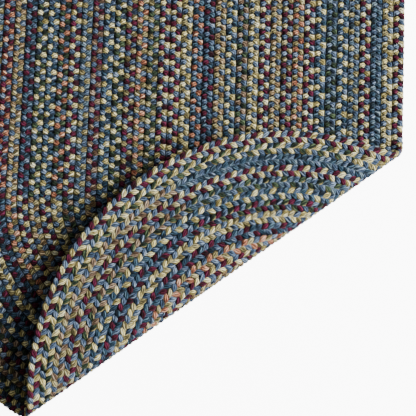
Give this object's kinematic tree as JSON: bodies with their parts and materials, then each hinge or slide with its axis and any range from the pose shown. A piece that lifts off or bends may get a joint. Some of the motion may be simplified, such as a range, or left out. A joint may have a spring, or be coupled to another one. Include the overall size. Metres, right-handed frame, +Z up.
{
  "type": "braided rug",
  "caption": "Oval rug coiled from a flat braid, lying on the floor with one rounded end folded back diagonally so that its underside shows.",
  "frame": {"origin": "middle of the folded rug's footprint, on the floor it lies on", "axes": "+Z up, Y along the straight rounds with the folded end toward -Y, X across the rug"},
  "size_m": [0.9158, 1.467, 0.0819],
  "materials": {
    "braid": "matt wool yarn in heathered blue, cream, tan, burgundy, peach and dark green strands"
  },
  "bodies": {
    "root": {"braided_rug": "braid"}
  },
  "joints": []
}
